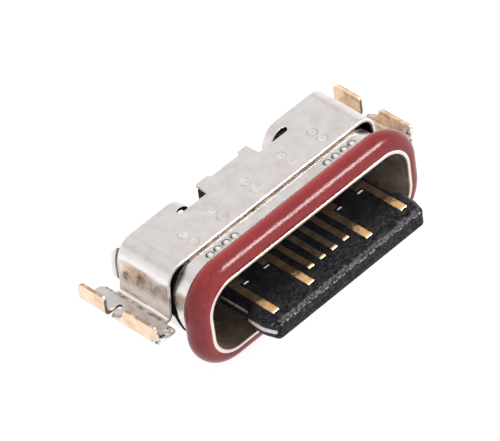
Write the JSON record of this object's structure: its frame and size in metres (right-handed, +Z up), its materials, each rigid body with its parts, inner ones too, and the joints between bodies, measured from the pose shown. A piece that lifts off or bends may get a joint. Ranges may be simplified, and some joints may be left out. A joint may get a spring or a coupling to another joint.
{
  "type": "usb-c socket",
  "caption": "Board-mounted, sealed USB-C socket: folded metal bracket with up-turned solder legs, drawn tube, silicone sealing ring and a black tongue with gold contacts.",
  "frame": {"origin": "centre of the mouth, on the mouth plane, at mid height of the tongue", "axes": "+Z up, from the solder flanges towards the bracket's top plate; -Y out of the mouth; +X to the right seen from the mouth"},
  "size_m": [0.0112, 0.006, 0.0038],
  "materials": {
    "nickel_sheet": "nickel plated sheet, satin, gold plated on the faces of the legs",
    "steel_tube": "nickel plated, bright lip, darker inside",
    "plain_steel": "stamped, bare edges",
    "red_silicone": "brick red silicone, half gloss",
    "black_moulding": "glass filled polymer, satin black",
    "dark_resin": "poured epoxy",
    "gold_contact": "gold plated copper alloy"
  },
  "bodies": {
    "root": {"bracket": "nickel_sheet", "inner_shell": "steel_tube", "seal_ring": "red_silicone", "housing": "black_moulding", "upper_carrier": "black_moulding", "lower_carrier": "black_moulding", "mid_plate": "plain_steel", "upper_emc_plate": "plain_steel", "lower_emc_plate": "plain_steel", "rear_potting": "dark_resin", "upper_gnd_left": "gold_contact", "upper_vbus_left": "gold_contact", "upper_cc": "gold_contact", "upper_dp": "gold_contact", "upper_dn": "gold_contact", "upper_sbu": "gold_contact", "upper_vbus_right": "gold_contact", "upper_gnd_right": "gold_contact", "lower_gnd_left": "gold_contact", "lower_vbus_left": "gold_contact", "lower_sbu": "gold_contact", "lower_dn": "gold_contact", "lower_dp": "gold_contact", "lower_cc": "gold_contact", "lower_vbus_right": "gold_contact", "lower_gnd_right": "gold_contact"}
  },
  "joints": []
}
